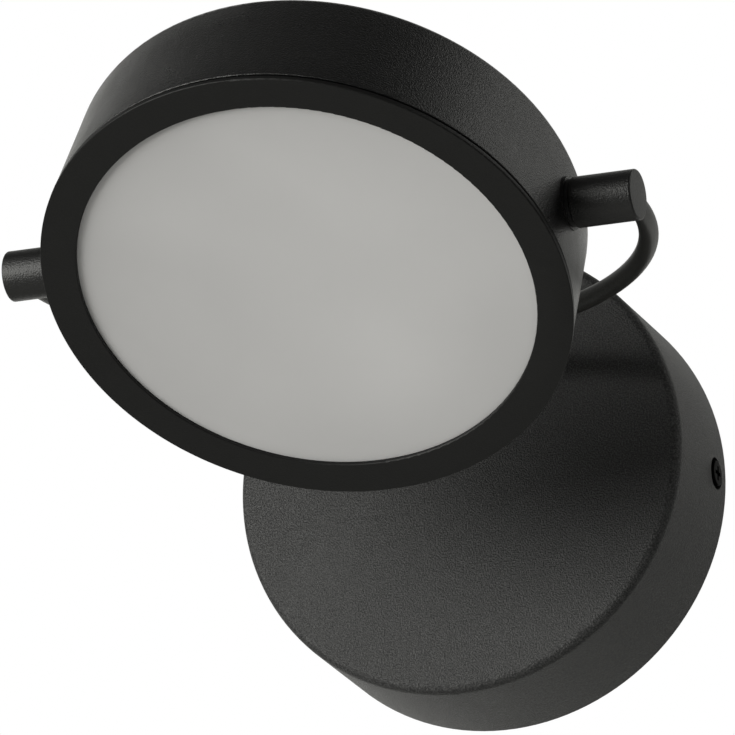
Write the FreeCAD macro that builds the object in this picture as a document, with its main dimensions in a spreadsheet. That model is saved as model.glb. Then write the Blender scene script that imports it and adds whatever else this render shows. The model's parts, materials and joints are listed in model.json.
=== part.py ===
"""Pivoting spotlight wall light: round canopy, bow-shaped arm and a flat drum head.

Frame: the wall is the plane y = 0 and the lamp stands out along -Y, +Z is up and
the origin is the centre of the canopy's back. Lengths are in millimetres.
The arm and the head are drawn about the pivot centre, the head facing -Y,
and are put in place by their Placement.
"""
import math
import os

import FreeCAD
import Part
import Sketcher

DRIVING = {
    # canopy and wall bracket
    "canopy_r": "60", "canopy_depth": "35.7", "canopy_wall": "1.5", "canopy_edge": "2.5",
    "bracket_sheet": "2", "bracket_width": "22", "ear_gap": "1.3", "ear_depth": "13",
    "cable_hole_r": "7", "slot_centre_x": "38", "slot_half_run": "3.75", "slot_r": "2.25",
    "side_screw_y": "7", "side_screw_r": "2", "side_screw_hole_r": "2.2", "side_screw_length": "9",
    "screw_head_r": "3.25", "screw_head_height": "2", "dimple_r": "4.2", "dimple_boss_r": "5.4",
    "dimple_floor": "1.2", "cross_half_width": "0.5", "cross_half_length": "1.9", "cross_depth": "1.1",
    # things fastened inside the canopy
    "stud_r": "1.5", "stud_length": "7", "stud_nut_r": "3.1", "stud_nut_height": "2.4",
    "driver_half_length": "32", "driver_half_width": "17", "driver_height": "20", "driver_from_rim": "31",
    "driver_wall": "1.6", "driver_lid_height": "1.6", "lug_reach": "10", "driver_stud_reach": "5",
    "lug_half_width": "5", "lug_height": "2.5", "driver_post_height": "4", "driver_board_sheet": "1.6",
    "coil_half": "8", "coil_height": "11", "coil_inset": "18", "capacitor_r": "5", "capacitor_inset": "16",
    "terminal_half_length": "15", "terminal_half_width": "7", "terminal_height": "16",
    "terminal_inset": "30", "terminal_rise": "22", "terminal_pitch": "10", "terminal_wire_r": "2",
    "terminal_screw_r": "1.6", "terminal_row": "4.2", "terminal_slot_half": "0.3",
    "terminal_slot_depth": "0.8", "board_foot_inset": "6", "board_foot_z": "11",
    "earth_inset": "26", "earth_rise": "22", "tag_r": "4", "tag_sheet": "1", "tag_length": "14",
    "tag_half_width": "2",
    # swivel between the canopy and the arm
    "hub_back": "12.6", "pivot_rise": "30.6", "hub_r": "6", "hub_nose": "4.3",
    "hub_bore_r": "1.9", "spigot_r": "5", "spigot_tail": "22", "running_gap": "0.05",
    "part_gap": "0.3", "liner_r": "8.5", "liner_sheet": "1", "swivel_nut_r": "8", "swivel_nut_height": "4",
    # arm
    "bow_setback": "2.7", "bow_shift": "1", "half_turn": "180", "quarter_turn": "90",
    "rod_r": "2.5", "rod_bore_r": "1.7", "lead_hole_r": "1.4",
    "knob_r": "6.4", "knob_length": "16.1", "knob_edge": "0.5", "hub_edge": "0.8", "socket_angle": "8",
    "axle_r": "3", "axle_bore_r": "1.8", "axle_past_nut": "1.4", "axle_setback": "4",
    "pivot_nut_r": "4.6", "spring_gap": "0.1", "pivot_nut_height": "3.2",
    "spring_washer_r": "5.2", "washer_sheet": "1", "pivot_washer_r": "6",
    # head, with the pivot axis as zero
    "head_tilt": "59.1", "head_r": "66.9", "head_taper": "1.9", "seat_step": "0.6", "seat_r": "6.8",
    "seat_height": "1.9", "head_wall": "1.5", "head_back": "14.25", "head_edge": "2.5",
    "ring_lip": "0.2", "ring_band": "9.1", "ring_front": "20.25", "ring_flange": "1.2", "ring_shadow": "1",
    "skirt_fit": "0.4", "skirt_wall": "2", "skirt_end": "13", "ring_edge": "0.3",
    "diffuser_lap": "2.4", "diffuser_sheet": "2", "gasket_fit": "0.1",
    "reflector_fit": "0.4", "reflector_rim": "3.6", "reflector_sheet": "1.2", "reflector_foot_gap": "0.5",
    "plate_inset": "9.4", "plate_front": "1.8", "plate_back": "1.2",
    "board_inset": "4.5", "board_sheet": "1.6",
    "post_circle_r": "37", "post_r": "4", "post_hole_r": "1.5", "post_hole_depth": "8",
    "plate_screw_r": "1.5", "plate_screw_hole_r": "1.7", "plate_screw_head_r": "2.75",
    "plate_screw_head": "1.8", "plate_screw_length": "11", "lead_slot_x": "20", "lead_slot_r": "3",
    "lead_r": "0.55", "lead_spread": "0.62", "lead_inset": "0.6", "lead_rise": "1.75", "lead_end_gap": "2.2",
    "lead_joint_gap": "1", "lead_drop_y": "18.5", "lead_tail": "20", "wire_grip": "2",
    "chip_half": "1.5", "chip_height": "0.7", "chip_circle_a": "12", "chip_circle_b": "28",
    "chip_edge": "5.5",
}

DERIVED = {
    "canopy_bore_r": "=canopy_r - canopy_wall",
    "canopy_inside": "=canopy_depth - canopy_wall",
    "ear_x": "=canopy_bore_r - ear_gap",
    "ear_inner_x": "=ear_x - bracket_sheet",
    "slot_low_x": "=slot_centre_x - slot_half_run",
    "slot_high_x": "=slot_centre_x + slot_half_run",
    "dimple_x": "=ear_x + dimple_floor",
    "screw_top_x": "=dimple_x + screw_head_height",
    "screw_tail_x": "=dimple_x - side_screw_length",
    "cross_x": "=screw_top_x - cross_depth",
    "stud_end": "=canopy_inside - stud_length",
    "driver_top": "=canopy_inside - driver_height",
    "driver_drop": "=canopy_r - driver_from_rim",
    "driver_lug_x": "=driver_half_length + lug_reach",
    "driver_stud_x": "=driver_half_length + driver_stud_reach",
    "board_foot_x": "=driver_half_length - board_foot_inset",
    "coil_x": "=coil_inset - driver_half_length",
    "capacitor_x": "=driver_half_length - capacitor_inset",
    "terminal_x": "=terminal_inset - canopy_r",
    "earth_x": "=canopy_r - earth_inset",
    "driver_bottom": "=driver_drop + driver_half_width",
    "driver_upper": "=driver_drop - driver_half_width",
    "driver_inner_length": "=driver_half_length - driver_wall",
    "driver_inner_low": "=driver_bottom - driver_wall",
    "driver_inner_high": "=driver_upper + driver_wall",
    "driver_floor_y": "=canopy_inside - driver_wall",
    "lug_low": "=driver_drop + lug_half_width",
    "lug_high": "=driver_drop - lug_half_width",
    "lug_y": "=canopy_inside - lug_height",
    "driver_board_y": "=driver_floor_y - driver_post_height",
    "driver_board_top": "=driver_board_y - driver_board_sheet",
    "coil_low": "=driver_drop + coil_half",
    "coil_high": "=driver_drop - coil_half",
    "coil_left": "=coil_x - coil_half",
    "coil_right": "=coil_x + coil_half",
    "terminal_left": "=terminal_x - terminal_half_length",
    "terminal_right": "=terminal_x + terminal_half_length",
    "terminal_low": "=terminal_rise - terminal_half_width",
    "terminal_high": "=terminal_rise + terminal_half_width",
    "terminal_top": "=canopy_inside - terminal_height",
    "terminal_wire_y": "=terminal_top + terminal_height / 2",
    "terminal_screw_tip": "=terminal_wire_y - terminal_wire_r",
    "terminal_pole_a": "=terminal_x - terminal_pitch",
    "terminal_pole_c": "=terminal_x + terminal_pitch",
    "terminal_row_low": "=terminal_rise - terminal_row",
    "terminal_row_high": "=terminal_rise + terminal_row",
    "terminal_screw_depth": "=terminal_height / 2 - terminal_wire_r",
    "foot_low": "=driver_drop + board_foot_z",
    "foot_high": "=driver_drop - board_foot_z",
    "terminal_stud_low_x": "=terminal_x - terminal_pitch / 2",
    "terminal_stud_high_x": "=terminal_x + terminal_pitch / 2",
    "terminal_floor_y": "=canopy_inside - lug_height",
    "stud_nut_room_r": "=stud_nut_r + part_gap",
    "tag_y": "=canopy_inside - tag_sheet",
    "tag_end_x": "=earth_x - tag_length",
    "tag_low": "=earth_rise - tag_half_width",
    "tag_high": "=earth_rise + tag_half_width",
    "head_back_r": "=head_r - head_taper",
    "head_bore_r": "=head_r - head_wall",
    "head_back_bore_r": "=head_back_r - head_wall",
    "seat_x": "=head_r - seat_step",
    "seat_foot_x": "=seat_x - seat_height",
    "washer_outer_x": "=seat_x + washer_sheet",
    "knob_inner": "=washer_outer_x + part_gap",
    "knob_end": "=knob_inner + knob_length",
    "bow_r": "=knob_end - bow_setback",
    "axle_seat": "=bow_r - axle_setback",
    "spring_washer_outer": "=head_back_bore_r - spring_gap",
    "spring_washer_x": "=spring_washer_outer - washer_sheet",
    "pivot_nut_x": "=spring_washer_x - pivot_nut_height",
    "axle_tail": "=pivot_nut_x - axle_past_nut",
    "lead_end_x": "=axle_tail - lead_end_gap",
    "lead_gap_x": "=lead_end_x + lead_joint_gap",
    "bow_reach": "=bow_r + bow_shift",
    "liner_front": "=canopy_depth + liner_sheet",
    "hub_shoulder": "=bow_reach + hub_back",
    "pivot_reach": "=hub_shoulder + part_gap + liner_front",
    "hub_front": "=bow_reach - hub_nose",
    "hub_end": "=pivot_reach - spigot_tail",
    "lead_end_y": "=pivot_reach - lead_tail",
    "lead_bend_r": "=bow_r - lead_inset",
    "lead_bend_end": "=lead_bend_r + bow_shift",
    "lead_arm_run": "=lead_bend_r - lead_gap_x",
    "lead_hub_run": "=lead_end_y - lead_bend_end",
    "lead_head_run": "=lead_end_x - lead_slot_x",
    "lead_board_run": "=lead_rise + plate_front",
    "lead_drop_run": "=pivot_rise + driver_upper",
    "terminal_wire_end": "=terminal_low + wire_grip",
    "supply_lead_run": "=terminal_wire_end + driver_upper",
    "spigot_hole_r": "=spigot_r + running_gap",
    "liner_back": "=canopy_inside - liner_sheet",
    "swivel_nut_y": "=pivot_reach - liner_back + part_gap",
    "swivel_nut_back": "=swivel_nut_y + swivel_nut_height",
    "axle_hole_r": "=axle_r + running_gap",
    "head_inside": "=head_back - head_wall",
    "ring_r": "=head_r + ring_lip",
    "ring_open_r": "=ring_r - ring_band",
    "skirt_r": "=head_bore_r - skirt_fit",
    "skirt_bore_r": "=skirt_r - skirt_wall",
    "diffuser_r": "=ring_open_r + diffuser_lap",
    "gasket_r": "=skirt_bore_r - gasket_fit",
    "reflector_rim_r": "=skirt_bore_r - reflector_fit",
    "reflector_mouth_r": "=reflector_rim_r - reflector_rim",
    "plate_r": "=head_bore_r - plate_inset",
    "board_r": "=plate_r - board_inset",
    "reflector_foot_r": "=board_r + reflector_foot_gap",
    "chip_circle_c": "=board_r - chip_edge",
    "ring_back": "=ring_front - ring_flange",
    "head_rim": "=ring_back - ring_shadow",
    "diffuser_back": "=ring_back - diffuser_sheet",
    "reflector_back": "=diffuser_back - reflector_sheet",
    "reflector_neck_r": "=reflector_mouth_r + reflector_sheet",
    "reflector_heel_r": "=reflector_foot_r + reflector_sheet",
    "board_front": "=plate_front + board_sheet",
    "screw_seat_front": "=board_front + plate_screw_head",
    "plate_screw_tip": "=plate_screw_length - board_front",
    "post_side_x": "=post_circle_r * sin(60 deg)",
    "post_side_z": "=post_circle_r * cos(60 deg)",
}

SAME = 0.01   # mm, places closer than this are one when an edge is picked

doc = FreeCAD.newDocument("wall_spotlight")
sheet = doc.addObject("Spreadsheet::Sheet", "dims")


def fill_sheet(rows, first_row):
    """Write one named value per row, its name beside it."""
    for row, (alias, text) in enumerate(rows.items(), first_row):
        sheet.set("A%d" % row, alias)
        sheet.set("B%d" % row, text)
        sheet.setAlias("B%d" % row, alias)


fill_sheet(DRIVING, 1)
doc.recompute()
fill_sheet(DERIVED, len(DRIVING) + 2)
doc.recompute()


def number(term):
    """The value of a cell name, a leading minus turning its sign."""
    if term == "0":
        return 0.0
    if term.startswith("-"):
        return -float(sheet.get(term[1:]))
    return float(sheet.get(term))


def formula(term):
    """The same term as an expression on the sheet."""
    return "-dims." + term[1:] if term.startswith("-") else "dims." + term


# ---------------------------------------------------------------- sketches

def new_sketch(body, role, offset="0"):
    """A sketch on one of the body's own planes, moved along its normal by offset."""
    plane = next(item for item in body.Origin.OriginFeatures if item.Role == role)
    sketch = body.newObject("Sketcher::SketchObject", body.Name + "_sketch")
    sketch.AttachmentSupport = [(plane, "")]
    sketch.MapMode = "FlatFace"
    if offset != "0":
        sketch.setExpression("AttachmentOffset.Base.z", formula(offset))
    return sketch


def pin_point(sketch, piece, end, across, up):
    """Hold one point of a sketch at two cell values measured from its origin."""
    for kind, axis, term in (("DistanceX", -2, across), ("DistanceY", -1, up)):
        if term == "0":
            sketch.addConstraint(Sketcher.Constraint("PointOnObject", piece, end, axis))
        else:
            rule = Sketcher.Constraint(kind, -1, 1, piece, end, number(term))
            index = sketch.addConstraint(rule)
            sketch.setExpression("Constraints[%d]" % index, formula(term))


def draw_outline(sketch, corners):
    """A closed outline of straight lines through the corners."""
    spots = [FreeCAD.Vector(number(across), number(up), 0) for across, up in corners]
    first = sketch.GeometryCount
    for start, stop in zip(spots, spots[1:] + spots[:1]):
        sketch.addGeometry(Part.LineSegment(start, stop), False)
    for step in range(len(spots)):
        after = first + (step + 1) % len(spots)
        sketch.addConstraint(Sketcher.Constraint("Coincident", first + step, 2, after, 1))
    for step, (across, up) in enumerate(corners):
        pin_point(sketch, first + step, 1, across, up)


def draw_box(sketch, left, right, low, high):
    """A rectangle between four cell values."""
    draw_outline(sketch, ((left, low), (right, low), (right, high), (left, high)))


def draw_circle(sketch, across, up, radius):
    """A circle about a point given by cell values."""
    centre = FreeCAD.Vector(number(across), number(up), 0)
    piece = sketch.addGeometry(Part.Circle(centre, FreeCAD.Vector(0, 0, 1), number(radius)), False)
    pin_point(sketch, piece, 3, across, up)
    index = sketch.addConstraint(Sketcher.Constraint("Radius", piece, number(radius)))
    sketch.setExpression("Constraints[%d]" % index, formula(radius))


# ---------------------------------------------------------------- features

def new_body(label):
    """An empty body that carries its node's name."""
    body = doc.addObject("PartDesign::Body", label)
    body.Label = label
    return body


def turn(body, sketch, axis="V_Axis", angle=None, kind="PartDesign::Revolution"):
    """Turn a profile about an axis of its sketch."""
    feature = body.newObject(kind, body.Name + "_turn")
    feature.Profile = sketch
    feature.ReferenceAxis = (sketch, [axis])
    if angle:
        feature.setExpression("Angle", formula(angle))
    else:
        feature.Angle = 360
    doc.recompute()
    return feature


def extrude(body, sketch, length=None, back=False, both=False, kind="PartDesign::Pad"):
    """Pad or pocket a profile; without a length a pocket goes through everything."""
    feature = body.newObject(kind, body.Name + "_" + kind[12:].lower())
    feature.Profile = sketch
    feature.Reversed = back
    if both:
        feature.Midplane = True
    if length:
        feature.setExpression("Length", formula(length))
    else:
        feature.Type = "ThroughAll"
    doc.recompute()
    return feature


def pocket(body, sketch, length=None, back=False, both=False):
    """Cut a profile out and make sure that it did cut."""
    before = body.Shape.Volume
    feature = extrude(body, sketch, length, back, both, "PartDesign::Pocket")
    if body.Shape.Volume > before - 1e-3:
        raise RuntimeError("%s: the pocket cuts nothing" % body.Label)
    return feature


def turned(label, profile, axis="V_Axis"):
    """A body turned about its Y axis (V_Axis) or X axis (H_Axis) from one outline."""
    body = new_body(label)
    sketch = new_sketch(body, "XY_Plane")
    draw_outline(sketch, profile)
    turn(body, sketch, axis)
    return body


def ring(label, inner, outer, near, far, axis="V_Axis"):
    """A plain ring between two radii and two places along its axis."""
    if axis == "V_Axis":
        return turned(label, ((inner, near), (outer, near), (outer, far), (inner, far)))
    return turned(label, ((near, inner), (near, outer), (far, outer), (far, inner)), axis)


def hole(body, role, places, radius, length=None, offset="0", back=False, both=False):
    """Round holes at right angles to one of the body's planes."""
    sketch = new_sketch(body, role, offset)
    for across, up in places:
        draw_circle(sketch, across, up, radius)
    return pocket(body, sketch, length, back, both)


def round_edges(body, radius, picker):
    """Fillet the circular edges that picker accepts."""
    solid = body.Tip
    names = []
    for index, edge in enumerate(solid.Shape.Edges, 1):
        if isinstance(edge.Curve, Part.Circle) and picker(edge):
            names.append("Edge%d" % index)
    if not names:
        raise RuntimeError("%s: no edge to round" % body.Label)
    fillet = body.newObject("PartDesign::Fillet", body.Name + "_fillet")
    fillet.Base = (solid, names)
    fillet.setExpression("Radius", formula(radius))
    doc.recompute()


def hexagon(sketch, across, up, radius):
    """A hexagon about a point, held by its centre and its corner radius."""
    centre = FreeCAD.Vector(number(across), number(up), 0)
    size = number(radius)
    first = sketch.GeometryCount
    corners = []
    for step in range(6):
        angle = math.radians(60 * step)
        corners.append(centre + FreeCAD.Vector(size * math.cos(angle), size * math.sin(angle), 0))
    for start, stop in zip(corners, corners[1:] + corners[:1]):
        sketch.addGeometry(Part.LineSegment(start, stop), False)
    circle = sketch.addGeometry(Part.Circle(centre, FreeCAD.Vector(0, 0, 1), size), True)
    for step in range(6):
        after = first + (step + 1) % 6
        sketch.addConstraint(Sketcher.Constraint("Coincident", first + step, 2, after, 1))
        sketch.addConstraint(Sketcher.Constraint("PointOnObject", first + step, 1, circle))
        if step:
            sketch.addConstraint(Sketcher.Constraint("Equal", first, first + step))
    pin_point(sketch, circle, 3, across, up)
    sketch.addConstraint(Sketcher.Constraint("Horizontal", first, 1, circle, 3))
    index = sketch.addConstraint(Sketcher.Constraint("Radius", circle, size))
    sketch.setExpression("Constraints[%d]" % index, formula(radius))


# ---------------------------------------------------------------- placing

def put_on_arm(item, half_turn=False):
    """Put a piece that is drawn about the pivot centre in the arm's place."""
    item.Placement.Rotation = FreeCAD.Rotation(FreeCAD.Vector(0, 1, 0), 180 if half_turn else 0)
    item.setExpression("Placement.Base.y", "-dims.pivot_reach")
    item.setExpression("Placement.Base.z", "dims.pivot_rise")


def put_on_head(item):
    """Put a piece that is drawn about the pivot centre on the tilted head."""
    item.Placement.Rotation = FreeCAD.Rotation(FreeCAD.Vector(1, 0, 0), 1)
    item.setExpression("Placement.Base.y", "-dims.pivot_reach")
    item.setExpression("Placement.Base.z", "dims.pivot_rise")
    item.setExpression("Placement.Rotation.Angle", "dims.head_tilt")


def group(label, source, placements):
    """One node that holds a copy of the source body at each placement."""
    source.Label = label + "_one"
    copies = []
    for placement in placements:
        link = doc.addObject("App::Link", label + "_copy")
        link.LinkedObject = source
        link.LinkPlacement = placement
        copies.append(link)
    node = doc.addObject("Part::Compound", label)
    node.Label = label
    node.Links = copies
    return node


def moved(across="0", out="0", up="0"):
    """A placement that only moves."""
    return FreeCAD.Placement(
        FreeCAD.Vector(number(across), number(out), number(up)), FreeCAD.Rotation())


def about(axis, angle):
    """A placement that only turns."""
    return FreeCAD.Placement(FreeCAD.Vector(), FreeCAD.Rotation(axis, angle))


Y_AXIS = FreeCAD.Vector(0, 1, 0)
BOTH_SIDES = (about(Y_AXIS, 0), about(Y_AXIS, 180))


# ---------------------------------------------------------------- canopy side

def wall_bracket():
    """Sheet strap that is screwed to the wall, its ears turned out to take the side screws."""
    body = new_body("wall_bracket")
    sketch = new_sketch(body, "XY_Plane")
    draw_outline(sketch, (
        ("-ear_x", "0"), ("ear_x", "0"), ("ear_x", "-ear_depth"), ("ear_inner_x", "-ear_depth"),
        ("ear_inner_x", "-bracket_sheet"), ("-ear_inner_x", "-bracket_sheet"),
        ("-ear_inner_x", "-ear_depth"), ("-ear_x", "-ear_depth")))
    extrude(body, sketch, "bracket_width", both=True)
    hole(body, "XZ_Plane", [("0", "0")], "cable_hole_r", both=True)
    hole(body, "YZ_Plane", [("-side_screw_y", "0")], "side_screw_r", both=True)
    for low, high in (("slot_low_x", "slot_high_x"), ("-slot_high_x", "-slot_low_x")):
        hole(body, "XZ_Plane", [(low, "0")], "slot_r", both=True)
        hole(body, "XZ_Plane", [(high, "0")], "slot_r", both=True)
        slot = new_sketch(body, "XZ_Plane")
        draw_box(slot, low, high, "-slot_r", "slot_r")
        pocket(body, slot, both=True)
    return body


def canopy():
    """Turned cup with a rounded front edge, side dimples for screws and the swivel hole."""
    body = turned("canopy", (
        ("0", "-canopy_depth"), ("canopy_r", "-canopy_depth"), ("canopy_r", "0"),
        ("canopy_bore_r", "0"), ("canopy_bore_r", "-canopy_inside"), ("0", "-canopy_inside")))
    front = -number("canopy_depth")
    radius = number("canopy_r")
    round_edges(body, "canopy_edge", lambda edge: (
        abs(edge.CenterOfMass.y - front) < SAME and abs(edge.Curve.Radius - radius) < SAME))
    for side in ("", "-"):
        boss = new_sketch(body, "YZ_Plane", side + "ear_x")
        draw_circle(boss, "-side_screw_y", "0", "dimple_boss_r")
        extrude(body, boss, "dimple_floor", back=side == "-")
        hole(body, "YZ_Plane", [("-side_screw_y", "0")], "dimple_r", None, side + "dimple_x",
             back=side == "")
    hole(body, "YZ_Plane", [("-side_screw_y", "0")], "side_screw_hole_r", both=True)
    hole(body, "XZ_Plane", [("0", "pivot_rise")], "spigot_hole_r", both=True)
    return body


def canopy_screws():
    """Two cross-head screws, one from each side through the canopy into the bracket's ears."""
    body = turned("canopy_screw", (
        ("screw_tail_x", "0"), ("screw_tail_x", "side_screw_r"), ("dimple_x", "side_screw_r"),
        ("dimple_x", "screw_head_r"), ("screw_top_x", "screw_head_r"), ("screw_top_x", "0")), "H_Axis")
    top = number("screw_top_x")
    round_edges(body, "ring_edge", lambda edge: abs(edge.CenterOfMass.x - top) < SAME)
    long, narrow = "cross_half_length", "cross_half_width"
    for wide, tall in ((long, narrow), (narrow, long)):
        slot = new_sketch(body, "YZ_Plane", "cross_x")
        draw_box(slot, "-" + wide, wide, "-" + tall, tall)
        pocket(body, slot, back=True)
    sides = [moved("0", "-side_screw_y").multiply(turned_half) for turned_half in BOTH_SIDES]
    return group("canopy_screws", body, sides)


STUD_PLACES = (
    ("driver_stud_x", "-driver_drop", "lug_y"),
    ("-driver_stud_x", "-driver_drop", "lug_y"),
    ("terminal_stud_low_x", "terminal_rise", "terminal_floor_y"),
    ("terminal_stud_high_x", "terminal_rise", "terminal_floor_y"),
    ("earth_x", "earth_rise", "tag_y"),
)


def weld_studs():
    """Threaded studs that stand on the canopy's inner face."""
    body = turned("weld_stud", (
        ("0", "-canopy_inside"), ("stud_r", "-canopy_inside"), ("stud_r", "-stud_end"), ("0", "-stud_end")))
    return group("weld_studs", body, [moved(across, "0", up) for across, up, seat in STUD_PLACES])


def stud_nuts():
    """Nuts on the studs, each on the piece that it holds."""
    body = new_body("stud_nut")
    sketch = new_sketch(body, "XZ_Plane")
    hexagon(sketch, "0", "0", "stud_nut_r")
    extrude(body, sketch, "stud_nut_height", back=True)
    hole(body, "XZ_Plane", [("0", "0")], "stud_r", both=True)
    return group("stud_nuts", body, [moved(across, "-" + seat, up) for across, up, seat in STUD_PLACES])


def driver_case():
    """Open tray that holds the power supply, with a lug at each end for its nut."""
    body = new_body("driver_case")
    sketch = new_sketch(body, "XZ_Plane", "canopy_inside")
    draw_box(sketch, "-driver_half_length", "driver_half_length", "-driver_bottom", "-driver_upper")
    wall = extrude(body, sketch, back=True, length="driver_height")
    wall.setExpression("Length", "dims.driver_height - dims.driver_lid_height")
    room = new_sketch(body, "XZ_Plane", "driver_floor_y")
    draw_box(room, "-driver_inner_length", "driver_inner_length",
             "-driver_inner_low", "-driver_inner_high")
    doc.recompute()
    pocket(body, room, back=False)
    lugs = new_sketch(body, "XZ_Plane", "canopy_inside")
    draw_box(lugs, "driver_half_length", "driver_lug_x", "-lug_low", "-lug_high")
    draw_box(lugs, "-driver_lug_x", "-driver_half_length", "-lug_low", "-lug_high")
    extrude(body, lugs, "lug_height", back=True)
    hole(body, "XZ_Plane", [("driver_stud_x", "-driver_drop"), ("-driver_stud_x", "-driver_drop")],
         "stud_r", both=True)
    return body


def driver_lid():
    """Flat lid on the tray."""
    body = new_body("driver_lid")
    sketch = new_sketch(body, "XZ_Plane", "driver_top")
    draw_box(sketch, "-driver_half_length", "driver_half_length", "-driver_bottom", "-driver_upper")
    extrude(body, sketch, "driver_lid_height")
    return body


def driver_board():
    """Circuit board on four short feet inside the tray."""
    body = new_body("driver_board")
    sketch = new_sketch(body, "XZ_Plane", "driver_board_y")
    draw_box(sketch, "-driver_inner_length", "driver_inner_length",
             "-driver_inner_low", "-driver_inner_high")
    extrude(body, sketch, "driver_board_sheet", back=True)
    feet = new_sketch(body, "XZ_Plane", "driver_board_y")
    for across in ("-board_foot_x", "board_foot_x"):
        for up in ("-foot_low", "-foot_high"):
            draw_circle(feet, across, up, "stud_r")
    extrude(body, feet, "driver_post_height")
    return body


def driver_coil():
    """Wound transformer on the board."""
    body = new_body("driver_coil")
    sketch = new_sketch(body, "XZ_Plane", "driver_board_top")
    draw_box(sketch, "coil_left", "coil_right", "-coil_low", "-coil_high")
    extrude(body, sketch, "coil_height", back=True)
    return body


def driver_capacitor():
    """Round capacitor on the board."""
    body = new_body("driver_capacitor")
    sketch = new_sketch(body, "XZ_Plane", "driver_board_top")
    draw_circle(sketch, "capacitor_x", "-driver_drop", "capacitor_r")
    extrude(body, sketch, "coil_height", back=True)
    return body


TERMINAL_POLES = ("terminal_pole_a", "terminal_x", "terminal_pole_c")


def terminal_block():
    """Three-pole block with a wire way through each pole and two fixing wells."""
    body = new_body("terminal_block")
    sketch = new_sketch(body, "XZ_Plane", "canopy_inside")
    draw_box(sketch, "terminal_left", "terminal_right", "terminal_low", "terminal_high")
    extrude(body, sketch, "terminal_height", back=True)
    studs = [("terminal_stud_low_x", "terminal_rise"), ("terminal_stud_high_x", "terminal_rise")]
    hole(body, "XZ_Plane", studs, "stud_r", both=True)
    hole(body, "XZ_Plane", studs, "stud_nut_room_r", None, "terminal_floor_y", back=False)
    hole(body, "XY_Plane", [(pole, "-terminal_wire_y") for pole in TERMINAL_POLES],
         "terminal_wire_r", both=True)
    screws = [(pole, row) for pole in TERMINAL_POLES for row in ("terminal_row_low", "terminal_row_high")]
    hole(body, "XZ_Plane", screws, "terminal_screw_r", "terminal_screw_depth", "terminal_top", back=True)
    return body


def terminal_screws():
    """Clamping screws of the block, two for each pole."""
    body = turned("terminal_screw", (
        ("0", "-terminal_top"), ("terminal_screw_r", "-terminal_top"),
        ("terminal_screw_r", "-terminal_screw_tip"), ("0", "-terminal_screw_tip")))
    slot = new_sketch(body, "XZ_Plane", "terminal_top")
    draw_box(slot, "-terminal_screw_r", "terminal_screw_r", "-terminal_slot_half", "terminal_slot_half")
    pocket(body, slot, "terminal_slot_depth", back=True)
    places = [moved(pole, "0", row) for pole in TERMINAL_POLES
              for row in ("terminal_row_low", "terminal_row_high")]
    return group("terminal_screws", body, places)


def earth_tag():
    """Ring tag that bonds the canopy to the supply's earth wire."""
    body = new_body("earth_tag")
    sketch = new_sketch(body, "XZ_Plane", "canopy_inside")
    draw_circle(sketch, "earth_x", "earth_rise", "tag_r")
    extrude(body, sketch, "tag_sheet", back=True)
    tongue = new_sketch(body, "XZ_Plane", "canopy_inside")
    draw_box(tongue, "tag_end_x", "earth_x", "tag_low", "tag_high")
    extrude(body, tongue, "tag_sheet", back=True)
    hole(body, "XZ_Plane", [("earth_x", "earth_rise")], "stud_r", both=True)
    return body


def canopy_leads():
    """Leads from the power supply up to the swivel, and from the terminal block to the power supply."""
    lamp = new_body("lamp_leads")
    sketch = new_sketch(lamp, "XY_Plane", "-driver_upper")
    for across in ("-lead_spread", "lead_spread"):
        draw_circle(sketch, across, "-lead_drop_y", "lead_r")
    extrude(lamp, sketch, "lead_drop_run")
    supply = new_body("supply_leads")
    sketch = new_sketch(supply, "XY_Plane", "-driver_upper")
    for across in ("terminal_x", "terminal_pole_c"):
        draw_circle(sketch, across, "-terminal_wire_y", "lead_r")
    extrude(supply, sketch, "supply_lead_run")
    return [lamp, supply]


def swivel_liners():
    """Slip rings on both faces of the canopy's front."""
    front = ring("swivel_washer", "spigot_hole_r", "liner_r", "-canopy_depth", "-liner_front")
    back = ring("swivel_liner", "spigot_hole_r", "liner_r", "-canopy_inside", "-liner_back")
    for body in (front, back):
        body.setExpression("Placement.Base.z", "dims.pivot_rise")
    return [front, back]


# ---------------------------------------------------------------- arm

def bow_ring_sketch(body):
    """The round section of the bow's rod at its end, a little behind the pivot axis."""
    sketch = new_sketch(body, "XZ_Plane", "-bow_shift")
    draw_circle(sketch, "bow_r", "0", "rod_r")
    return sketch


def swivel_hub():
    """Turned hub that grips the middle of the bow and turns in the canopy on a hollow spigot."""
    body = turned("swivel_hub", (
        ("0", "hub_front"), ("hub_r", "hub_front"), ("hub_r", "hub_shoulder"),
        ("spigot_r", "hub_shoulder"), ("spigot_r", "hub_end"), ("0", "hub_end")))
    front = number("hub_front")
    round_edges(body, "hub_edge", lambda edge: abs(edge.CenterOfMass.y - front) < SAME)
    turn(body, bow_ring_sketch(body), kind="PartDesign::Groove")
    bore = new_sketch(body, "XZ_Plane", "-bow_reach")
    draw_circle(bore, "0", "0", "hub_bore_r")
    pocket(body, bore)
    put_on_arm(body)
    return body


def swivel_nuts():
    """The swivel's nut inside the canopy and the nut that locks it."""
    bodies = []
    for label, near in (("swivel_nut", "swivel_nut_y"), ("lock_nut", "swivel_nut_back")):
        body = new_body(label)
        sketch = new_sketch(body, "XZ_Plane", "-" + near)
        hexagon(sketch, "0", "0", "swivel_nut_r")
        extrude(body, sketch, "swivel_nut_height", back=True)
        hole(body, "XZ_Plane", [("0", "0")], "spigot_r", both=True)
        put_on_arm(body)
        bodies.append(body)
    return bodies


def bow_tube():
    """Half ring of round tube from knob to knob behind the head, with a way out for the leads."""
    body = new_body("bow_tube")
    sketch = bow_ring_sketch(body)
    draw_circle(sketch, "bow_r", "0", "rod_bore_r")
    turn(body, sketch, angle="half_turn")
    hole(body, "XZ_Plane", [("0", "0")], "lead_hole_r", None, "-bow_reach")
    put_on_arm(body)
    return body


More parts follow.
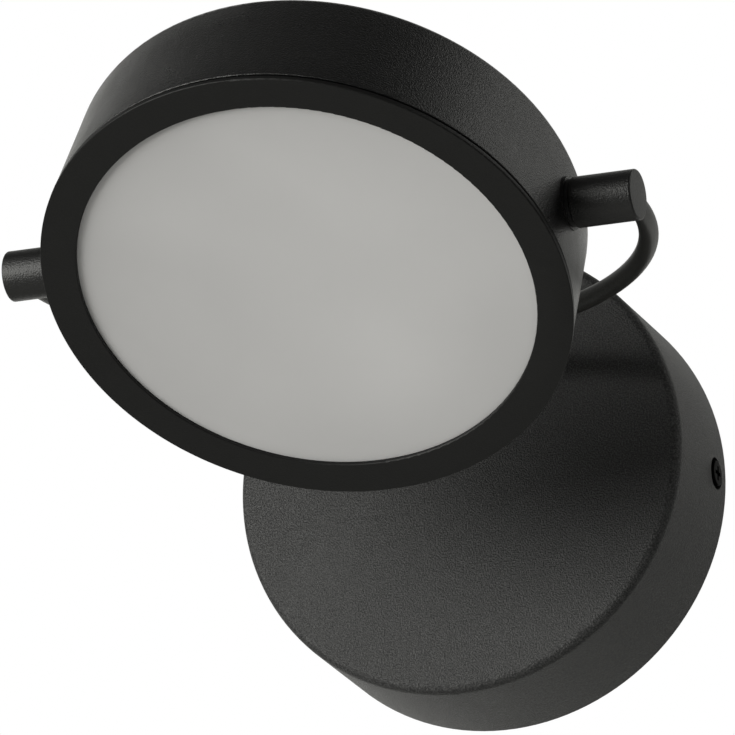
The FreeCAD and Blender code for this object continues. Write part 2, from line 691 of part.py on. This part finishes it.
def pair(sketch, across):
    """The two leads of a pair, one above the other."""
    for up in ("-lead_spread", "lead_spread"):
        draw_circle(sketch, across, up, "lead_r")


def arm_leads():
    """Two leads that run from the canopy through the hub, one half of the bow and the right axle."""
    body = new_body("arm_leads")
    bend = new_sketch(body, "XZ_Plane", "-bow_shift")
    pair(bend, "lead_bend_r")
    turn(body, bend, angle="quarter_turn")
    corner = new_sketch(body, "XZ_Plane", "-bow_shift")
    pair(corner, "lead_bend_r")
    extrude(body, corner, "bow_shift")
    inward = new_sketch(body, "YZ_Plane", "lead_gap_x")
    pair(inward, "0")
    extrude(body, inward, "lead_arm_run")
    outward = new_sketch(body, "XZ_Plane", "-lead_bend_end")
    pair(outward, "0")
    extrude(body, outward, "lead_hub_run", back=True)
    put_on_arm(body)
    return body


def knob(label, half_turn):
    """Turned end block: a side socket for the bow, an axial bore for the axle and leads."""
    body = turned(label, (
        ("knob_inner", "axle_r"), ("axle_seat", "axle_r"), ("axle_seat", "axle_bore_r"),
        ("bow_r", "axle_bore_r"), ("bow_r", "0"), ("knob_end", "0"),
        ("knob_end", "knob_r"), ("knob_inner", "knob_r")), "H_Axis")
    end = number("knob_end")
    round_edges(body, "knob_edge", lambda edge: abs(edge.CenterOfMass.x - end) < SAME)
    turn(body, bow_ring_sketch(body), angle="socket_angle", kind="PartDesign::Groove")
    put_on_arm(body, half_turn)
    return body


def pivot_group(label, body):
    """Left and right copies of a piece of the tilt pivot, on the arm."""
    node = group(label, body, BOTH_SIDES)
    put_on_arm(node)
    return node


def pivot_hardware():
    """Axles, nuts and spring washers of the tilt pivot."""
    axle = ring("pivot_axle", "axle_bore_r", "axle_r", "axle_tail", "axle_seat", "H_Axis")
    washer = ring("spring_washer", "axle_r", "spring_washer_r", "spring_washer_x",
                  "spring_washer_outer", "H_Axis")
    nut = new_body("pivot_nut")
    sketch = new_sketch(nut, "YZ_Plane", "pivot_nut_x")
    hexagon(sketch, "0", "0", "pivot_nut_r")
    extrude(nut, sketch, "pivot_nut_height")
    hole(nut, "YZ_Plane", [("0", "0")], "axle_r", both=True)
    return [pivot_group("pivot_axles", axle), pivot_group("pivot_spring_washers", washer),
            pivot_group("pivot_nuts", nut)]


# ---------------------------------------------------------------- head

# three posts on one circle carry the plate
POSTS = (("0", "post_circle_r"), ("post_side_x", "-post_side_z"), ("-post_side_x", "-post_side_z"))


def head_housing():
    """Drum with a closed back, side holes for the axles and three posts inside."""
    body = turned("head_housing", (
        ("0", "head_back"), ("head_back_r", "head_back"), ("head_r", "-head_rim"),
        ("head_bore_r", "-head_rim"), ("head_back_bore_r", "head_inside"), ("0", "head_inside")))
    back = number("head_back")
    radius = number("head_back_r")
    round_edges(body, "head_edge", lambda edge: (
        abs(edge.CenterOfMass.y - back) < SAME and abs(edge.Curve.Radius - radius) < SAME))
    rim = number("head_r")
    round_edges(body, "ring_edge", lambda edge: abs(edge.Curve.Radius - rim) < SAME)
    for side in ("", "-"):
        seat = new_sketch(body, "YZ_Plane", side + "seat_foot_x")
        draw_circle(seat, "0", "0", "seat_r")
        extrude(body, seat, "seat_height", back=side == "-")
    hole(body, "YZ_Plane", [("0", "0")], "axle_hole_r", both=True)
    posts = new_sketch(body, "XZ_Plane", "-head_inside")
    for across, up in POSTS:
        draw_circle(posts, across, up, "post_r")
    rise = extrude(body, posts, "head_inside")
    rise.setExpression("Length", "dims.head_inside - dims.plate_back")
    doc.recompute()
    hole(body, "XZ_Plane", POSTS, "post_hole_r", "post_hole_depth", "-plate_back", back=False)
    put_on_head(body)
    return body


def front_ring():
    """Trim ring: a flat front flange and a skirt that presses into the drum."""
    body = turned("front_ring", (
        ("ring_open_r", "-ring_front"), ("ring_r", "-ring_front"), ("ring_r", "-ring_back"),
        ("skirt_r", "-ring_back"), ("skirt_r", "-skirt_end"), ("skirt_bore_r", "-skirt_end"),
        ("skirt_bore_r", "-ring_back"), ("ring_open_r", "-ring_back")))
    front = -number("ring_front")
    round_edges(body, "ring_edge", lambda edge: abs(edge.CenterOfMass.y - front) < SAME)
    put_on_head(body)
    return body


def optics():
    """Diffuser, its gasket and the white cone behind it."""
    bodies = [
        turned("diffuser", (("0", "-ring_back"), ("diffuser_r", "-ring_back"),
                            ("diffuser_r", "-diffuser_back"), ("0", "-diffuser_back"))),
        ring("diffuser_gasket", "diffuser_r", "gasket_r", "-ring_back", "-diffuser_back"),
        turned("reflector", (
            ("reflector_mouth_r", "-diffuser_back"), ("reflector_rim_r", "-diffuser_back"),
            ("reflector_rim_r", "-reflector_back"), ("reflector_neck_r", "-reflector_back"),
            ("reflector_heel_r", "-plate_front"), ("reflector_foot_r", "-plate_front"))),
    ]
    for body in bodies:
        put_on_head(body)
    return bodies


def heat_plate():
    """Thick plate on the posts that takes the heat of the light board."""
    body = turned("heat_plate", (
        ("0", "-plate_front"), ("plate_r", "-plate_front"), ("plate_r", "plate_back"), ("0", "plate_back")))
    hole(body, "XZ_Plane", POSTS, "plate_screw_hole_r", both=True)
    hole(body, "XZ_Plane", [("lead_slot_x", "0")], "lead_slot_r", both=True)
    put_on_head(body)
    return body


def led_board():
    """Round light board on the plate."""
    body = turned("led_board", (
        ("0", "-board_front"), ("board_r", "-board_front"),
        ("board_r", "-plate_front"), ("0", "-plate_front")))
    hole(body, "XZ_Plane", POSTS, "plate_screw_hole_r", both=True)
    put_on_head(body)
    return body


def head_leads():
    """Two leads behind the plate, through its slot to the back of the light board."""
    body = new_body("head_leads")
    along = new_sketch(body, "YZ_Plane", "lead_slot_x")
    pair(along, "lead_rise")
    extrude(body, along, "lead_head_run")
    down = new_sketch(body, "XZ_Plane", "-lead_rise")
    pair(down, "lead_slot_x")
    extrude(body, down, "lead_board_run")
    put_on_head(body)
    return body


CHIP_RINGS = (("chip_circle_a", 6), ("chip_circle_b", 12), ("chip_circle_c", 18))


def led_chips():
    """Light chips on three circles of the board."""
    body = new_body("led_chip")
    sketch = new_sketch(body, "XZ_Plane", "board_front")
    draw_box(sketch, "-chip_half", "chip_half", "-chip_half", "chip_half")
    extrude(body, sketch, "chip_height")
    places = []
    for circle, count in CHIP_RINGS:
        for step in range(count):
            turned_to = about(Y_AXIS, 360 * step / count)
            places.append(turned_to.multiply(moved(circle)))
    node = group("led_chips", body, places)
    put_on_head(node)
    return node


def plate_screws():
    """Screws that hold the board and the plate on the posts."""
    body = turned("plate_screw", (
        ("0", "-screw_seat_front"), ("plate_screw_head_r", "-screw_seat_front"),
        ("plate_screw_head_r", "-board_front"), ("plate_screw_r", "-board_front"),
        ("plate_screw_r", "plate_screw_tip"), ("0", "plate_screw_tip")))
    node = group("plate_screws", body, [moved(across, "0", up) for across, up in POSTS])
    put_on_head(node)
    return node


def pivot_washers():
    """Slip washers between the drum and the knobs, carried by the drum."""
    body = ring("pivot_washer", "axle_hole_r", "pivot_washer_r", "seat_x", "washer_outer_x", "H_Axis")
    node = group("pivot_washers", body, BOTH_SIDES)
    put_on_head(node)
    return node


# ---------------------------------------------------------------- build

NODES = [
    wall_bracket(), canopy(), canopy_screws(), weld_studs(), stud_nuts(),
    driver_case(), driver_lid(), driver_board(), driver_coil(), driver_capacitor(),
    terminal_block(), terminal_screws(), earth_tag(), *canopy_leads(), *swivel_liners(),
    swivel_hub(), *swivel_nuts(), bow_tube(), arm_leads(),
    knob("knob_right", False), knob("knob_left", True), *pivot_hardware(),
    head_housing(), front_ring(), *optics(), heat_plate(), led_board(), head_leads(), led_chips(),
    plate_screws(), pivot_washers(),
]
doc.recompute()

for item in doc.Objects:
    if "Invalid" in item.State or "Error" in item.State:
        raise RuntimeError("%s did not build" % item.Label)

os.makedirs("parts", exist_ok=True)
for node in NODES:
    if node.Shape.isNull() or not node.Shape.isValid():
        raise RuntimeError("%s has no sound shape" % node.Label)
    node.Shape.exportStep("parts/%s.step" % node.Label)
    print("%-22s solids %2d volume %9.1f" % (node.Label, len(node.Shape.Solids), node.Shape.Volume))
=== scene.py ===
import json
import math

import bmesh
import bpy
from mathutils import Matrix, Vector


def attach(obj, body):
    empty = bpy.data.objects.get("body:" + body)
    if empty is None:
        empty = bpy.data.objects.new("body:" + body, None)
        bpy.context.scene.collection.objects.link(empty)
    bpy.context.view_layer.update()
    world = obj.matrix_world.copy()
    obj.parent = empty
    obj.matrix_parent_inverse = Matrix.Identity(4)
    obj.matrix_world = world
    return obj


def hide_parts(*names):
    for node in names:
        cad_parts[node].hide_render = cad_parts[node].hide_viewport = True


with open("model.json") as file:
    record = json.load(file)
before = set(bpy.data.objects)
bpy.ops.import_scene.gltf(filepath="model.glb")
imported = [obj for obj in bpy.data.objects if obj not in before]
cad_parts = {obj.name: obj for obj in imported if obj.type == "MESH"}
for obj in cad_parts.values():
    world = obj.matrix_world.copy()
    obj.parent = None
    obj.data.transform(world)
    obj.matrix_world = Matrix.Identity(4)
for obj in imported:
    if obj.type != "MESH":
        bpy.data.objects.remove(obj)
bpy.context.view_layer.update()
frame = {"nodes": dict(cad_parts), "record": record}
nodes = frame["nodes"]
record = frame["record"]
bodyOf = {name: body for body, names in record["behaviour"]["bodies"].items() for name in names}
slotOf = {part["node"]: part["material_slot"] for part in record["subparts"]}
joints = {joint["name"]: joint for joint in record["behaviour"]["joints"]}
millimetre = 0.001


def middleOf(nodeName):
    corners = [Vector(corner) for corner in nodes[nodeName].bound_box]
    return sum(corners, Vector()) / len(corners)


pivot = Vector(joints["head_tilt"]["pos_m"])          # middle of the line that the drum tilts about
diffuserMiddle = middleOf("diffuser")
facing = (diffuserMiddle - pivot).normalized()        # the way the drum looks
print("frame loaded", len(nodes), "nodes")


# camera: a long lens from below and from the right, as in the photograph
camera = {
    "azimuth": 20.31, "elevation": -18.29, "roll": -0.28,   # degrees
    "distance": 2.697,                                       # metres from the canopy's back
    "lens": 510.7, "sensor": 36.0,                           # millimetres
    "originRight": 138.98, "originDown": 140.48,             # pixels from the picture's middle
    "picture": 735,                                          # pixels across
    "clipStart": 0.1, "clipEnd": 50,                         # metres
}


def placeCamera(facts):
    turn, lift, roll = (math.radians(facts[key]) for key in ("azimuth", "elevation", "roll"))
    back = Vector((math.sin(turn) * math.cos(lift), -math.cos(turn) * math.cos(lift), math.sin(lift)))
    level = Vector((math.cos(turn), math.sin(turn), 0))
    upright = back.cross(level)
    right = math.cos(roll) * level + math.sin(roll) * upright
    up = -math.sin(roll) * level + math.cos(roll) * upright
    pixels = facts["lens"] / facts["sensor"] * facts["picture"]
    ahead = -back - right * facts["originRight"] / pixels + up * facts["originDown"] / pixels
    ahead.normalize()
    side = ahead.cross(up).normalized()
    top = side.cross(ahead)
    data = bpy.data.cameras.new("camera")
    data.lens = facts["lens"]
    data.sensor_width = facts["sensor"]
    data.clip_start = facts["clipStart"]
    data.clip_end = facts["clipEnd"]
    item = bpy.data.objects.new("camera", data)
    bpy.context.scene.collection.objects.link(item)
    turned = Matrix((side, top, -ahead)).transposed().to_4x4()
    item.matrix_world = Matrix.Translation(back * facts["distance"]) @ turned
    bpy.context.scene.camera = item


placeCamera(camera)
print("camera placed")


# colours and shader nodes
def linear(hexText):
    channels = [int(hexText[place:place + 2], 16) / 255 for place in (1, 3, 5)]
    return [c / 12.92 if c <= 0.04045 else ((c + 0.055) / 1.055) ** 2.4 for c in channels] + [1.0]


def addNode(tree, kind, settings=None, inputs=None, stops=()):
    node = tree.nodes.new(kind)
    for name, value in (settings or {}).items():
        setattr(node, name, value)
    for name, value in (inputs or {}).items():
        if isinstance(value, bpy.types.NodeSocket):
            tree.links.new(value, node.inputs[name])
        else:
            node.inputs[name].default_value = value
    for number, (place, colour) in enumerate(stops):
        node.color_ramp.elements[number].position = place
        node.color_ramp.elements[number].color = linear(colour)
    return node


def newMaterial(name):
    material = bpy.data.materials.new(name)
    material.use_nodes = True
    tree = material.node_tree
    shader = tree.nodes["Principled BSDF"]
    spot = addNode(tree, "ShaderNodeTexCoord").outputs["Object"]
    return material, tree, shader, spot


# materials
powder = {
    "grain": 0.42,                                # mm, the orange-peel bumps of a fine textured powder
    "grainDetail": 2.0, "grainRoughness": 0.55,
    "darkTo": 0.42, "paleFrom": 0.72,             # share of the grain's height, hollows to tops
    "bump": 0.26,                                 # mm, height of the grain
    "drift": 9.0,                                 # mm, slow change of gloss where the powder lies thicker
    "driftDetail": 3.0, "driftLow": 0.3, "driftHigh": 0.7,
    "ior": 1.5,
}


def powderCoat(name, colour, paler, roughness, grainStrength, drifting, specular=0.5):
    # black polyester powder, sprayed and baked: dark, satin, a fine even grain that breaks up gloss
    material, tree, shader, spot = newMaterial(name)
    grain = addNode(tree, "ShaderNodeTexNoise", None,
                    {"Vector": spot, "Scale": 1 / (powder["grain"] * millimetre),
                     "Detail": powder["grainDetail"], "Roughness": powder["grainRoughness"]})
    drift = addNode(tree, "ShaderNodeTexNoise", None,
                    {"Vector": spot, "Scale": 1 / (powder["drift"] * millimetre),
                     "Detail": powder["driftDetail"]})
    speck = addNode(tree, "ShaderNodeValToRGB", None, {"Fac": grain.outputs["Fac"]},
                    ((powder["darkTo"], colour), (powder["paleFrom"], paler)))
    gloss = addNode(tree, "ShaderNodeMapRange", None,
                    {"Value": drift.outputs["Fac"],
                     "From Min": powder["driftLow"], "From Max": powder["driftHigh"],
                     "To Min": roughness - drifting, "To Max": roughness + drifting})
    bump = addNode(tree, "ShaderNodeBump", None,
                   {"Height": grain.outputs["Fac"], "Strength": grainStrength,
                    "Distance": powder["bump"] * millimetre})
    tree.links.new(speck.outputs["Color"], shader.inputs["Base Color"])
    tree.links.new(gloss.outputs["Result"], shader.inputs["Roughness"])
    tree.links.new(bump.outputs["Normal"], shader.inputs["Normal"])
    shader.inputs["IOR"].default_value = powder["ior"]
    shader.inputs["Specular IOR Level"].default_value = specular
    return material


ring = {
    "colour": "#050505", "paler": "#0A0A0A",
    "roughness": 0.50, "grainStrength": 0.25, "drifting": 0.02,
    "skirtEnds": 18.6, "faceBegins": 19.0,        # mm in front of the pivot; behind skirtEnds the shine is gone, as painted shade in the gap
    "shine": 0.33,
}


def ringCoatWithGapShade(facts):
    # the ring's face has the same powder coat as the drum; its skirt, deep in the shadow gap, has its shine
    # taken away: painted shade, so that the gap reads black
    material = powderCoat("matte_black_powder_coat_ring_gap_shade", facts["colour"], facts["paler"],
                          facts["roughness"], facts["grainStrength"], facts["drifting"])
    tree = material.node_tree
    spot = addNode(tree, "ShaderNodeTexCoord").outputs["Object"]
    ahead = addNode(tree, "ShaderNodeVectorMath", {"operation": "DOT_PRODUCT"}, {0: spot, 1: facing})
    start = pivot.dot(facing)
    # painted shade: the skirt's shine fades to none towards the back of the shadow gap
    gapShade = addNode(tree, "ShaderNodeMapRange", None,
                     {"Value": ahead.outputs["Value"],
                      "From Min": start + facts["skirtEnds"] * millimetre,
                      "From Max": start + facts["faceBegins"] * millimetre,
                      "To Min": 0.0, "To Max": facts["shine"]})
    shader = tree.nodes["Principled BSDF"]
    tree.links.new(gapShade.outputs["Result"], shader.inputs["Specular IOR Level"])
    return material


opal = {
    "colour": "#CCCBCC", "paler": "#D5D4D5",
    "haze": 60, "hazeLow": 0.35, "hazeHigh": 0.65,        # mm, cloudiness of the cast sheet
    "grit": 0.3, "gritDepth": 0.004, "gritStrength": 0.15,   # mm, the blast marks, coarser than real to show
    "downAndRight": Vector((0.25, 0, -0.97)),
    "upper": -0.045, "upperPaintedShade": 0.93,                   # metres along downAndRight, and the painted shade there
    "lower": 0.016, "lowerPaintedLight": 1.05,
    "rimFrom": 0.030, "rimTo": 0.060, "rimPaintedShade": 0.93,    # metres from the middle, and the painted shade at the rim
    "roughness": 0.55, "ior": 1.49, "specular": 0.25,
}


def frostedAcrylic(facts):
    # opal acrylic, sand-blasted: pale grey unlit, soft; its tone carries painted shade, dimmer at the rim
    # and at the top, and painted light, brighter towards the bottom
    material, tree, shader, spot = newMaterial("frosted_opal_acrylic")
    haze = addNode(tree, "ShaderNodeTexNoise", None,
                   {"Vector": spot, "Scale": 1 / (facts["haze"] * millimetre), "Detail": 1.0})
    tone = addNode(tree, "ShaderNodeValToRGB", None, {"Fac": haze.outputs["Fac"]},
                   ((facts["hazeLow"], facts["colour"]), (facts["hazeHigh"], facts["paler"])))
    grit = addNode(tree, "ShaderNodeTexNoise", None,
                   {"Vector": spot, "Scale": 1 / (facts["grit"] * millimetre), "Detail": 1.0})
    bump = addNode(tree, "ShaderNodeBump", None,
                   {"Height": grit.outputs["Fac"], "Strength": facts["gritStrength"],
                    "Distance": facts["gritDepth"] * millimetre})
    # painted light and shade: the tone rises from the top towards the bottom right
    along = addNode(tree, "ShaderNodeVectorMath", {"operation": "DOT_PRODUCT"},
                    {0: spot, 1: facts["downAndRight"]})
    level = addNode(tree, "ShaderNodeMapRange", None,
                    {"Value": along.outputs["Value"],
                     "From Min": facts["upper"], "From Max": facts["lower"],
                     "To Min": facts["upperPaintedShade"], "To Max": facts["lowerPaintedLight"]})
    # painted shade from the ring: the tone falls towards the rim
    out = addNode(tree, "ShaderNodeVectorMath", {"operation": "DISTANCE"}, {0: spot, 1: diffuserMiddle})
    rim = addNode(tree, "ShaderNodeMapRange", {"interpolation_type": "SMOOTHSTEP"},
                  {"Value": out.outputs["Value"],
                   "From Min": facts["rimFrom"], "From Max": facts["rimTo"],
                   "To Min": 1.0, "To Max": facts["rimPaintedShade"]})
    paintedShading = addNode(tree, "ShaderNodeMath", {"operation": "MULTIPLY"},
                   {0: level.outputs["Result"], 1: rim.outputs["Result"]})
    shade = addNode(tree, "ShaderNodeVectorMath", {"operation": "SCALE"},
                    {0: tone.outputs["Color"], "Scale": paintedShading.outputs["Value"]})
    tree.links.new(shade.outputs["Vector"], shader.inputs["Base Color"])
    tree.links.new(bump.outputs["Normal"], shader.inputs["Normal"])
    shader.inputs["Roughness"].default_value = facts["roughness"]
    shader.inputs["IOR"].default_value = facts["ior"]
    shader.inputs["Specular IOR Level"].default_value = facts["specular"]
    return material


plain = {
    "detail": 3.0, "low": 0.3, "high": 0.7,
    "depth": 0.02, "strength": 0.3,               # mm, the faint grain left by plating, mould or mill
}


def plainFinish(name, colour, paler, roughness, metallic=0.0, grain=0.4, specular=0.5):
    # hidden and small pieces: plated, moulded or milled, each with a faint grain (mm) and tone change
    material, tree, shader, spot = newMaterial(name)
    noise = addNode(tree, "ShaderNodeTexNoise", None,
                    {"Vector": spot, "Scale": 1 / (grain * millimetre), "Detail": plain["detail"]})
    tone = addNode(tree, "ShaderNodeValToRGB", None, {"Fac": noise.outputs["Fac"]},
                   ((plain["low"], colour), (plain["high"], paler)))
    bump = addNode(tree, "ShaderNodeBump", None,
                   {"Height": noise.outputs["Fac"], "Strength": plain["strength"],
                    "Distance": plain["depth"] * millimetre})
    tree.links.new(tone.outputs["Color"], shader.inputs["Base Color"])
    tree.links.new(bump.outputs["Normal"], shader.inputs["Normal"])
    shader.inputs["Roughness"].default_value = roughness
    shader.inputs["Metallic"].default_value = metallic
    shader.inputs["Specular IOR Level"].default_value = specular
    return material


finishes = {
    # powder-coated steel: the canopy the grainiest, the drum the glossiest, the arm a little paler, which is
    # painted light to lift it where it lies in shade
    "canopy_coat": powderCoat("textured_black_powder_coat", "#1A1A1B", "#494949", 0.46, 1.35, 0.01, 0.42),
    # painted light: the arm's paler tones lift it out of the drum's shade
    "arm_coat": powderCoat("satin_black_powder_coat_arm", "#282827", "#3E3E3B", 0.42, 0.3, 0.02),
    "knob_coat": powderCoat("satin_black_powder_coat_ends", "#050505", "#121212", 0.42, 0.5, 0.02),
    "head_coat": powderCoat("satin_black_powder_coat_drum", "#09090A", "#171717", 0.30, 0.8, 0.03),
    "ring_coat": ringCoatWithGapShade(ring),
    # bare metal: blackened with hardly any shine, zinc plate cool and bright, milled aluminium silvery
    "black_screw": plainFinish("blackened_steel", "#040404", "#0A0A0A", 0.3, grain=0.5, specular=0.012),
    "zinc_steel": plainFinish("bright_zinc_plate", "#A9ACB0", "#C6C9CC", 0.32, 1.0, 0.6),
    "bare_aluminium": plainFinish("mill_finish_aluminium", "#BFC1C3", "#D2D4D6", 0.38, 1.0, 0.8),
    # in the drum: blasted opal sheet, milky moulded seal, bright white reflector and board, amber chips
    "frosted_diffuser": frostedAcrylic(opal),
    "gasket_rubber": plainFinish("clear_silicone", "#B9B9B4", "#C9C9C4", 0.5),
    "white_reflector": plainFinish("white_polycarbonate", "#E6E6E3", "#EFEFEC", 0.4),
    "white_board": plainFinish("white_solder_mask", "#E2E4DF", "#EDEFEA", 0.45),
    "chip_phosphor": plainFinish("yellow_phosphor", "#D9B22E", "#E8C84A", 0.35),
    # in the canopy: off-white satin mouldings, green board, amber tape, dark sleeve, black rings, red leads
    "driver_plastic": plainFinish("moulded_white_nylon", "#D8D8D3", "#E2E2DE", 0.5),
    "circuit_board": plainFinish("green_solder_mask", "#0F4A22", "#176031", 0.4),
    "coil_wrap": plainFinish("yellow_polyester_tape", "#C79A1B", "#D8AE2E", 0.4),
    "capacitor_sleeve": plainFinish("dark_shrink_sleeve", "#10141E", "#1B2130", 0.35),
    "terminal_plastic": plainFinish("moulded_white_polyamide", "#DAD9D2", "#E6E5DF", 0.5),
    "slip_plastic": plainFinish("black_acetal", "#0F0F10", "#1A1A1B", 0.4),
    "lead_sheath": plainFinish("soft_red_lead_sheath", "#8E1C1A", "#A62A24", 0.5),
}
print("materials made", len(finishes))


# the CAD nodes keep their shape; on the outer ones a smooth, merged copy shows instead
smoothing = {
    "mergeGap": 0.000002,   # metres
    "creaseAngle": 24,      # degrees, sharper edges stay crisp
    "pieces": ("canopy", "bow_tube", "swivel_hub", "knob_right", "knob_left", "head_housing",
               "front_ring", "diffuser", "canopy_screws", "swivel_washer", "pivot_washers"),
}


def smoothCopy(nodeName):
    mesh = nodes[nodeName].data.copy()
    work = bmesh.new()
    work.from_mesh(mesh)
    bmesh.ops.remove_doubles(work, verts=work.verts, dist=smoothing["mergeGap"])
    crease = math.radians(smoothing["creaseAngle"])
    for face in work.faces:
        face.smooth = True
    for edge in work.edges:
        edge.smooth = len(edge.link_faces) == 2 and edge.calc_face_angle(0.0) < crease
    work.to_mesh(mesh)
    work.free()
    piece = bpy.data.objects.new(nodeName + "_finish", mesh)
    bpy.context.scene.collection.objects.link(piece)
    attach(piece, bodyOf[nodeName])
    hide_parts(nodeName)
    return piece


def dress(item, material):
    item.data.materials.clear()
    item.data.materials.append(material)


for nodeName, node in nodes.items():
    finish = finishes[slotOf[nodeName]]
    dress(smoothCopy(nodeName) if nodeName in smoothing["pieces"] else node, finish)
print("nodes dressed", len(nodes))


# studio: pale floor far below, white behind, a large soft lamp at the front left, two faint at the right
studio = {
    "floorDrop": 1.2, "floorSize": 5.0, "floorColour": "#E9E9E7", "floorRoughness": 0.9,
    "tint": "#FFFFFA",                            # a trace of warm green, as on all the black metal
    "roomLevel": 0.095, "wallLevel": 0.75,        # world strength in front of the lamp, behind it
    "dimUntil": 0.2, "brightFrom": 0.85,          # how far towards +Y each of them reaches
    "leftShare": 1.25, "rightShare": 0.50,        # the same, times this, towards -X and +X
    "shareReach": 0.7,                            # how far towards -X and +X these are reached
    "aim": Vector((0, -0.09, 0)),                 # metres, the spot between canopy and drum
}
lamps = {   # where each stands as seen from the aim, then metres, metres and watts
    "key": {"from": Vector((-0.72, -0.95, 0.12)), "distance": 1.5, "size": 1.1, "power": 28},
    "top": {"from": Vector((0.70, 0.36, 0.62)), "distance": 1.5, "size": 0.6, "power": 2.0},
    "side": {"from": Vector((0.88, -0.38, 0.30)), "distance": 1.5, "size": 0.3, "power": 1.5},
}


def makeFloor(facts):
    sheet = bmesh.new()
    bmesh.ops.create_grid(sheet, x_segments=1, y_segments=1, size=facts["floorSize"] / 2)
    bmesh.ops.translate(sheet, verts=sheet.verts, vec=(0, 0, -facts["floorDrop"]))
    mesh = bpy.data.meshes.new("floor")
    sheet.to_mesh(mesh)
    sheet.free()
    floor = bpy.data.objects.new("floor", mesh)
    bpy.context.scene.collection.objects.link(floor)
    material = bpy.data.materials.new("pale_floor")
    material.use_nodes = True
    shader = material.node_tree.nodes["Principled BSDF"]
    shader.inputs["Base Color"].default_value = linear(facts["floorColour"])
    shader.inputs["Roughness"].default_value = facts["floorRoughness"]
    floor.data.materials.append(material)
    floor.visible_camera = False   # it only throws light up, the white behind comes from the world


def makeWorld(facts):
    # white where the camera looks; for the light, a bright wall side (+Y) and a dim room side
    world = bpy.data.worlds.new("studio")
    bpy.context.scene.world = world
    world.use_nodes = True
    tree = world.node_tree
    room = tree.nodes["Background"]
    direction = addNode(tree, "ShaderNodeTexCoord").outputs["Generated"]
    parts = addNode(tree, "ShaderNodeSeparateXYZ", None, {"Vector": direction})
    level = addNode(tree, "ShaderNodeMapRange", {"interpolation_type": "SMOOTHSTEP"},
                    {"Value": parts.outputs["Y"],
                     "From Min": facts["dimUntil"], "From Max": facts["brightFrom"],
                     "To Min": facts["roomLevel"], "To Max": facts["wallLevel"]})
    share = addNode(tree, "ShaderNodeMapRange", {"interpolation_type": "SMOOTHSTEP"},
                    {"Value": parts.outputs["X"],
                     "From Min": -facts["shareReach"], "From Max": facts["shareReach"],
                     "To Min": facts["leftShare"], "To Max": facts["rightShare"]})
    strength = addNode(tree, "ShaderNodeMath", {"operation": "MULTIPLY"},
                       {0: level.outputs["Result"], 1: share.outputs["Result"]})
    tree.links.new(strength.outputs["Value"], room.inputs["Strength"])
    room.inputs["Color"].default_value = linear(facts["tint"])
    white = addNode(tree, "ShaderNodeBackground", None, {"Color": linear("#FFFFFF"), "Strength": 1.0})
    seen = addNode(tree, "ShaderNodeLightPath").outputs["Is Camera Ray"]
    mix = addNode(tree, "ShaderNodeMixShader", None,
                  {0: seen, 1: room.outputs["Background"], 2: white.outputs["Background"]})
    tree.links.new(mix.outputs["Shader"], tree.nodes["World Output"].inputs["Surface"])


def makeLamp(name, facts):
    data = bpy.data.lights.new(name, "AREA")
    data.shape = "SQUARE"
    data.size = facts["size"]
    data.color = linear(studio["tint"])[:3]
    data.energy = facts["power"]
    lamp = bpy.data.objects.new(name, data)
    bpy.context.scene.collection.objects.link(lamp)
    away = facts["from"].normalized()
    lamp.location = studio["aim"] + away * facts["distance"]
    lamp.rotation_mode = "QUATERNION"
    lamp.rotation_quaternion = away.to_track_quat("Z", "Y")
    lamp.visible_camera = False


makeFloor(studio)
makeWorld(studio)
for lampName, lampFacts in lamps.items():
    makeLamp(lampName, lampFacts)
bpy.context.scene.view_settings.view_transform = "Standard"
print("studio made")
